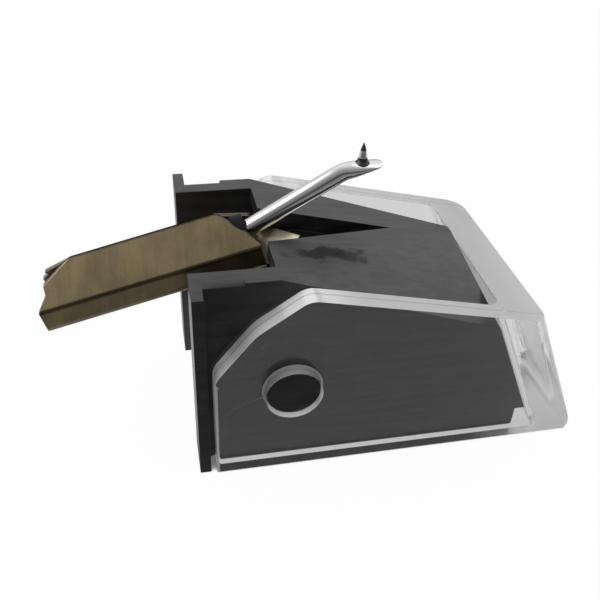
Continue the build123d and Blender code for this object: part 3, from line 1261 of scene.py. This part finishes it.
@dataclass
class Cantilever:
    """The tube with its flattened end, the shank and tip on it and the magnet behind it.

    Attributes:
        tilt: Angle of the tube above the horizontal in degrees.
        length: Distance from the pivot to the bend in millimetres.
        tail: Length behind the pivot.
        radius: Radius of the tube.
        bend: Run and rise of the bend.
        end_tilt: Angle of the pinched end above the horizontal in degrees.
        end: Length, half width, half thickness at the root and half thickness at the tip of the pinched end.
        squareness: Power that shapes the pinched end's outline in plan.
        bend_shares: Places of the sections along the bend.
        end_shares: Places of the sections along the pinched end, closer where its outline turns.
        shank_at: Distance of the shank from the start of the pinched end.
        shank_set: Depth of the shank's foot below the pinched end's axis.
        shank: Radius, height and length of the taper.
        shank_break: Width of the small chamfers at the shank's foot and at the start of its taper.
        tip: Radius at its base, height and radius of its point.
        bead: Height over the pinched end and reach beyond the shank of the bead's sections.
        around: Points on each section.
        magnet_edge: Rounding of the magnet's ends.
        sleeve_edge: Rounding of the sleeve's ends.
        aluminium: Material of the tube and the sleeve.
        steel: Material of the shank.
        stone: Material of the tip.
        glue: Material of the bead.
        magnet: Material of the magnet.
    """

    tilt: float = 31.1
    length: float = 4.44
    tail: float = 0.7
    radius: float = 0.345
    bend: Span = (0.55, 0.17)
    end_tilt: float = 11.0
    end: tuple[float, float, float, float] = (1.12, 0.4, 0.29, 0.05)
    squareness: float = 8.0
    bend_shares: tuple[float, ...] = (0.2, 0.4, 0.6, 0.8)
    end_shares: tuple[float, ...] = (0.0, 0.2, 0.4, 0.6, 0.74, 0.84, 0.91, 0.955, 0.98, 0.994)
    shank_at: float = 0.32
    shank_set: float = 0.25
    shank: Triple = (0.17, 0.95, 0.26)
    shank_break: float = 0.02
    tip: Triple = (0.12, 0.3, 0.02)
    bead: tuple[Span, ...] = (
        (-0.1, 0.13), (-0.03, 0.125), (0.0, 0.1), (0.03, 0.07),
        (0.07, 0.04), (0.13, 0.018), (0.2, 0.004), (0.21, -0.03),
    )
    around: int = 40
    magnet_edge: EdgeBreak = EdgeBreak(0.02, 2, 50.0)
    sleeve_edge: EdgeBreak = EdgeBreak(0.015, 2, 50.0)
    aluminium: BareMetal = BareMetal(
        "drawn_aluminium", (0.68, 0.68, 0.69), (0.42, 0.42, 0.43), (0.09, 0.16), (0.35, 5.0, 5.0), 3.0
    )
    steel: BareMetal = BareMetal(
        "turned_steel", (0.72, 0.72, 0.72), (0.5, 0.5, 0.5), (0.2, 0.32), (1.0, 1.0, 9.0), 4.0
    )
    stone: DarkSolid = DarkSolid(
        "dark_diamond", (0.01, 0.01, 0.011), (0.03, 0.03, 0.032), (0.04, 0.1), 2.4, 20.0, 0.002
    )
    glue: DarkSolid = DarkSolid(
        "bonding_resin", (0.012, 0.011, 0.01), (0.03, 0.026, 0.022), (0.15, 0.3), 1.5, 9.0, 0.02
    )
    magnet: BareMetal = BareMetal(
        "ground_magnet", (0.26, 0.26, 0.27), (0.16, 0.16, 0.17), (0.3, 0.45), (2.0, 2.0, 2.0), 6.0
    )

    def __post_init__(self) -> None:
        """Finds the pivot, the bend, the pinched end and the shank's foot."""
        self.pivot = joint_place("cantilever_lift")
        self.along = heading(self.tilt)
        self.bend_start = self.pivot + self.along * self.length
        self.end_start = self.bend_start + Vector((self.bend[0], 0, self.bend[1]))
        self.end_along = heading(self.end_tilt)
        self.shank_foot = self.end_start + self.end_along * self.shank_at - Vector((0, 0, self.shank_set))

    def bend_rings(self) -> list[Ring]:
        """Sections between the tube and its pinched end, on a smooth curve.

        Returns:
            The sections in order.
        """
        run, rise = self.bend
        slope_in = math.tan(math.radians(self.tilt)) * run
        slope_out = math.tan(math.radians(self.end_tilt)) * run
        rings = []
        for share in self.bend_shares:
            ease = share * share * (3 - 2 * share)
            lift = rise * ease + slope_in * share * (1 - share) ** 2 - slope_out * share**2 * (1 - share)
            centre = self.bend_start + Vector((run * share, 0, lift))
            wide = self.radius + (self.end[1] - self.radius) * ease
            deep = self.radius + (self.end[2] - self.radius) * ease
            rings.append(Ring(centre, self.tilt + (self.end_tilt - self.tilt) * ease, wide, deep))
        return rings

    def tube_rings(self) -> list[Ring]:
        """Sections of the tube from its tail to the pinched end.

        Returns:
            The sections in order.
        """
        long, half, root, thin = self.end
        rings = [
            Ring(self.pivot + self.along * at, self.tilt, self.radius, self.radius)
            for at in (-self.tail, 0.0, self.length * 0.5, self.length - 0.3, self.length)
        ]
        rings += self.bend_rings()
        for share in self.end_shares:
            wide = half * math.sqrt(1 - share**self.squareness)
            centre = self.end_start + self.end_along * (long * share)
            rings.append(Ring(centre, self.end_tilt, wide, root + (thin - root) * share))
        return rings

    def upright(self, profile: Sequence[Span]) -> list[Ring]:
        """Sections on the shank's axis, from heights above its foot and radii."""
        foot = self.shank_foot
        return [Ring(foot + Vector((0, 0, height)), 90, radius, radius) for height, radius in profile]

    def turned_rings(self) -> tuple[list[Ring], list[Ring], list[Ring]]:
        """Sections of the three pieces on the shank's axis.

        Returns:
            The sections of the shank, of the tip and of the bead.
        """
        radius, height, taper = self.shank
        base, tall, point = self.tip
        shoulder, small = height - taper, self.shank_break
        shank = (
            (0, radius - small),
            (small, radius),
            (shoulder, radius),
            (shoulder + small, radius - small / 4),
            (height, base),
        )
        tip = (
            (height, base),
            (height + tall * 0.85, point + 0.012),
            (height + tall * 0.96, point),
            (height + tall, point * 0.4),
        )
        long, _, root, thin = self.end
        top = self.shank_set + root + (thin - root) * self.shank_at / long
        bead = [(top + rise, radius + reach) for rise, reach in self.bead]
        return self.upright(shank), self.upright(tip), self.upright(bead)

    def build(self, shop: EffectShop) -> None:
        """Builds and dresses the moving pieces.

        Args:
            shop: The shared effects.
        """
        aluminium = self.aluminium.make(shop)
        shank, tip, bead = self.turned_rings()
        for name, rings, smooth, slot, material, nodes in (
            ("arm_tube", self.tube_rings(), 40.0, Slot.ALUMINIUM, aluminium, ["cantilever"]),
            ("shank_turned", shank, 20.0, Slot.STEEL, self.steel.make(shop), ["stylus_shank"]),
            ("diamond_point", tip, 40.0, Slot.DIAMOND, self.stone.make(shop), ["diamond_tip"]),
            ("bond_bead", bead, 60.0, None, self.glue.make(shop), []),
        ):
            piece = skin_rings(name, rings, self.around, smooth)
            seat(piece, Body.CANTILEVER, slot, material, *nodes)
        magnet = self.magnet.make(shop)
        dress_copy("magnet", "magnet_rod", self.magnet_edge, Body.CANTILEVER, Slot.MAGNET, magnet)
        dress_copy(
            "magnet_sleeve", "sleeve_collar", self.sleeve_edge, Body.CANTILEVER, Slot.ALUMINIUM, aluminium
        )


# Studio


@dataclass(frozen=True)
class PhotoCamera:
    """Camera at the photograph's viewing angle.

    Attributes:
        azimuth: Angle round the part in degrees; 0 looks along +Y.
        elevation: Angle above the horizon in degrees.
        roll: Turn about the viewing axis in degrees.
        aim: Point looked at, in millimetres from the shell's rear face.
        slide: Sideways and upward offset of that point in the view, in millimetres.
        distance: Distance along the view in millimetres.
        focal: Focal length in pixels of the photograph's frame.
        frame_side: Side of that frame in pixels.
        sensor: Width of the sensor in millimetres.
        reach: Nearest and farthest distance that is seen, in millimetres.
    """

    azimuth: float = -13.24
    elevation: float = 36.475
    roll: float = 2.874
    aim: Triple = (8.0, 0.0, 4.0)
    slide: Span = (3.161, -0.204)
    distance: float = 32.362
    focal: float = 752.466
    frame_side: int = 600
    sensor: float = 36.0
    reach: Span = (1.0, 10000.0)

    def build(self) -> None:
        """Makes the camera the scene's own."""
        turn, rise, roll = (math.radians(a) for a in (self.azimuth, self.elevation, self.roll))
        back = Vector((math.sin(turn) * math.cos(rise), -math.cos(turn) * math.cos(rise), math.sin(rise)))
        right = Vector((0, 0, 1)).cross(back).normalized()
        up = back.cross(right)
        across = right * math.cos(roll) + up * math.sin(roll)
        upward = up * math.cos(roll) - right * math.sin(roll)
        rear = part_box("body_shell")[0].x / MM
        aim = Vector(self.aim) + Vector((rear, 0, 0))
        place = aim - across * self.slide[0] - upward * self.slide[1] + back * self.distance
        data = bpy.data.cameras.new("photo_camera")
        data.sensor_width = self.sensor
        data.lens = self.focal * self.sensor / self.frame_side
        data.clip_start, data.clip_end = (limit * MM for limit in self.reach)
        camera = bpy.data.objects.new("photo_camera", data)
        turned = Matrix((across, upward, back)).transposed().to_4x4()
        camera.matrix_world = Matrix.Translation(place * MM) @ turned
        bpy.context.scene.collection.objects.link(camera)
        bpy.context.scene.camera = camera


@dataclass(frozen=True)
class SoftBox:
    """A soft square lamp.

    Attributes:
        name: Its name.
        place: Its centre in millimetres.
        aim: The point it faces, in millimetres.
        side: Its side in millimetres.
        power: Its power in watts.
    """

    name: str
    place: Triple
    aim: Triple
    side: float
    power: float

    def build(self) -> None:
        """Hangs the lamp."""
        data = bpy.data.lights.new(self.name, "AREA")
        data.size = self.side * MM
        data.energy = self.power
        lamp = bpy.data.objects.new(self.name, data)
        facing = (Vector(self.place) - Vector(self.aim)).to_track_quat("Z", "Y").to_matrix().to_4x4()
        lamp.matrix_world = Matrix.Translation(Vector(self.place) * MM) @ facing
        lamp.visible_camera = False
        lamp.visible_transmission = False
        bpy.context.scene.collection.objects.link(lamp)


@dataclass(frozen=True)
class Studio:
    """White floor, pale surroundings and soft lamps.

    Attributes:
        floor_side: Side of the floor in millimetres.
        floor_drop: Depth of the floor below the part in millimetres.
        nook: Reach of the contact shadow in narrow gaps in millimetres.
        paper: Colour of the floor.
        paper_white: Strength of the plain white that the camera sees there.
        paper_share: Greatest share of it, which leaves some of the part's shadow.
        paper_clear: Share of it that rays through clear plastic meet.
        paper_front: Share of it that metal and plastic mirror on the floor in front of the part.
        paper_back: Share of it that they mirror on the floor behind the part.
        back: Brightness of the room behind the part.
        back_low: Brightness of that room low down.
        front_high: Brightness of the room high up on the camera's side.
        front_low: Brightness of the room low down on the camera's side.
        lamps: The soft boxes.
        bounces: Longest path of light, for the many reflections inside clear plastic.
    """

    floor_side: float = 900.0
    floor_drop: float = 0.01
    nook: float = 2.0
    paper: Colour = (0.22, 0.22, 0.22)
    paper_white: float = 1.08
    paper_share: float = 0.9
    paper_clear: float = 0.7
    paper_front: float = 0.05
    paper_back: float = 0.85
    back: float = 1.0
    back_low: float = 0.5
    front_high: float = 0.34
    front_low: float = 0.05
    lamps: tuple[SoftBox, ...] = (
        SoftBox("back_box", (30.0, 110.0, 85.0), (0.0, 0.0, 4.0), 140.0, 0.006),
        SoftBox("right_box", (63.0, 11.0, 80.0), (0.0, 0.0, 6.0), 110.0, 0.03),
        SoftBox("left_box", (-75.0, 10.0, 60.0), (0.0, 0.0, 4.0), 70.0, 0.035),
    )
    bounces: int = 20

    @staticmethod
    def white_share(
        bench: NodeBench, through: float, mirrored: object, seen: object = 1.0
    ) -> bpy.types.NodeSocket:
        """Share of plain white that a ray meets: all for the camera, less for the other rays.

        Args:
            bench: The tree that is filled.
            through: Share for rays that have passed through clear plastic.
            mirrored: Share for rays that a surface mirrors.
            seen: Share for the camera's own rays.

        Returns:
            The share.
        """
        path = bench.add("ShaderNodeLightPath").outputs
        clear = bench.times(path["Is Transmission Ray"], through)
        gloss = bench.times(path["Is Glossy Ray"], mirrored)
        plain = bench.times(path["Is Camera Ray"], seen)
        return bench.most(plain, bench.most(clear, gloss))

    def floor_material(self) -> bpy.types.Material:
        """Builds the floor's material: grey paper that looks white, darker in the part's narrow gaps.

        Returns:
            The material.
        """
        paper = bpy.data.materials.new("floor_paper")
        paper.use_nodes = True
        bench = NodeBench(paper.node_tree)
        matt = bench.add("ShaderNodeBsdfDiffuse", {"Color": self.paper}).outputs[0]
        white = bench.add("ShaderNodeEmission", {"Strength": self.paper_white}).outputs[0]
        across = bench.split(bench.place())["Y"]
        mirrored = bench.ramp(across, -7.0, 0.0, (self.paper_front, self.paper_back))
        nook = bench.add("ShaderNodeAmbientOcclusion", {"Distance": self.nook * MM}, samples=8)
        seen = bench.ramp(nook.outputs["AO"], 0.12, 0.42, (0.08, 1.0))
        share = bench.times(self.white_share(bench, self.paper_clear, mirrored, seen), self.paper_share)
        bench.add("ShaderNodeOutputMaterial", {"Surface": bench.mix(share, matt, white)})
        return paper

    def light_room(self) -> None:
        """Sets the surroundings: bright behind the part, dim on the camera's side, white for the camera."""
        world = bpy.data.worlds.new("pale_room")
        bpy.context.scene.world = world
        world.use_nodes = True
        bench = NodeBench(world.node_tree)
        ways = bench.split(bench.add("ShaderNodeTexCoord").outputs["Generated"])
        front = bench.ramp(ways["Z"], 0.0, 0.7, (self.front_low, self.front_high))
        behind = bench.ramp(ways["Z"], 0.1, 0.5, (self.back_low, self.back))
        room = bench.ramp(ways["Y"], -0.75, 0.6, (front, behind))
        colour = bench.blend(self.white_share(bench, 0.0, 0.0), room, WHITE)
        glow = bench.add("ShaderNodeBackground", {"Color": colour}).outputs[0]
        bench.add("ShaderNodeOutputWorld", {"Surface": glow})

    def build(self) -> None:
        """Lays the floor, sets the surroundings and hangs the lamps."""
        scene = bpy.context.scene
        scene.view_settings.view_transform = "Standard"
        for limit in ("max_bounces", "glossy_bounces", "transmission_bounces"):
            setattr(scene.cycles, limit, self.bounces)
        clear_selection()
        bpy.ops.mesh.primitive_plane_add(size=self.floor_side * MM, location=(0, 0, -self.floor_drop * MM))
        floor = bpy.context.active_object
        floor.name = "studio_floor"
        floor.data.materials.append(self.floor_material())
        self.light_room()
        for lamp in self.lamps:
            lamp.build()


def main() -> None:
    """Builds the studio and dresses every sub-assembly."""
    logging.basicConfig(level=logging.INFO, format="%(name)s: %(message)s")
    PhotoCamera().build()
    Studio().build()
    shop = EffectShop()
    for assembly in (Shell(), Guard(), Plug(), Cantilever()):
        assembly.build(shop)


if __name__ == "__main__":
    main()
